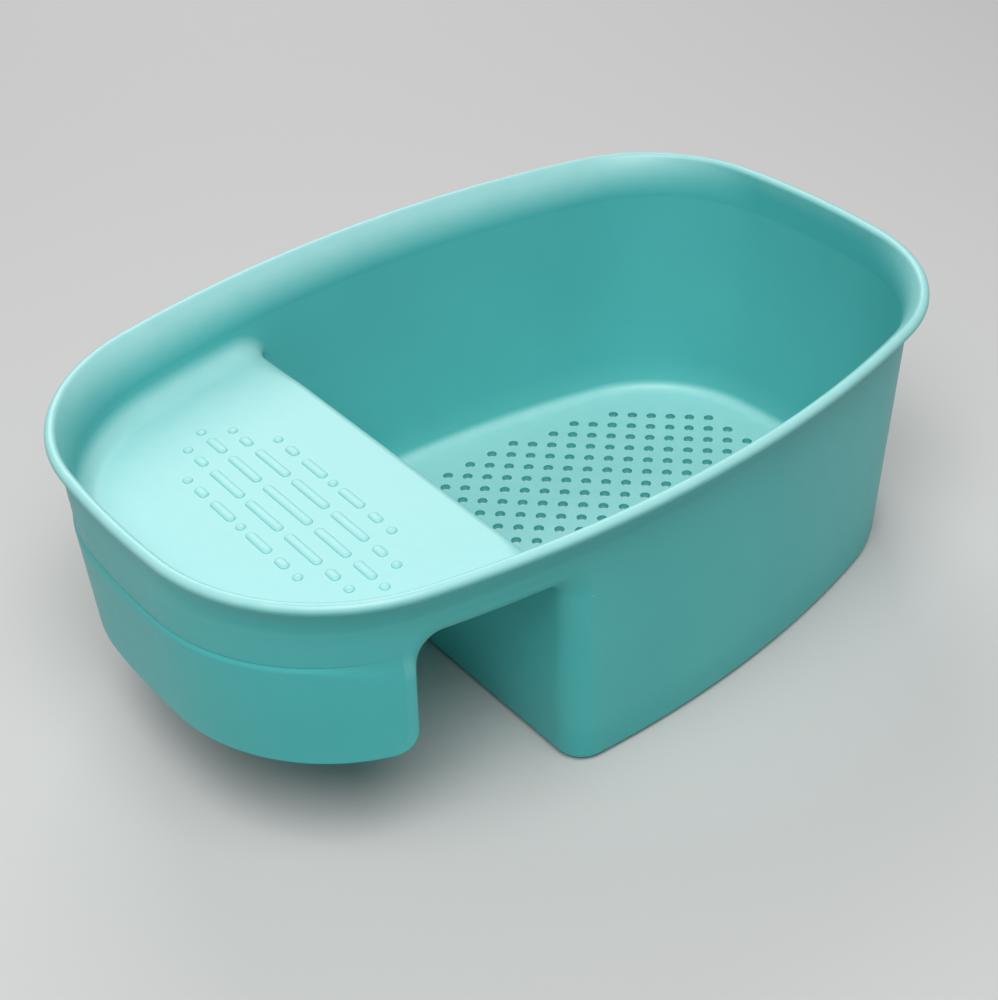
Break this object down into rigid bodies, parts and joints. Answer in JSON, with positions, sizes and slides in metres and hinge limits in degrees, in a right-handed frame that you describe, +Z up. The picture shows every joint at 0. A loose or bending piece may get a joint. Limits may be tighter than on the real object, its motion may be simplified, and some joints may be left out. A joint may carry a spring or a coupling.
{
  "type": "kitchen sink caddy",
  "caption": "Moulded plastic saddle caddy for a sink: deep basket with a perforated drain floor, soap ledge with raised grip bars, flared rim, and a skirt that hooks over the sink divider.",
  "frame": {"origin": "under the middle of the rim's plan, on the plane of the basket's base", "axes": "+X from the soap ledge to the deep basket, +Y across the caddy along the saddle channel, +Z up"},
  "size_m": [0.3, 0.2, 0.106],
  "materials": {
    "shell": "satin injection-moulded polypropylene in teal"
  },
  "bodies": {
    "root": {"rim_lip": "shell", "basket_wall": "shell", "saddle_riser": "shell", "drain_floor": "shell", "tray_wall": "shell", "soap_ledge": "shell", "ledge_grip_bars": "shell", "saddle_skirt": "shell"}
  },
  "joints": []
}
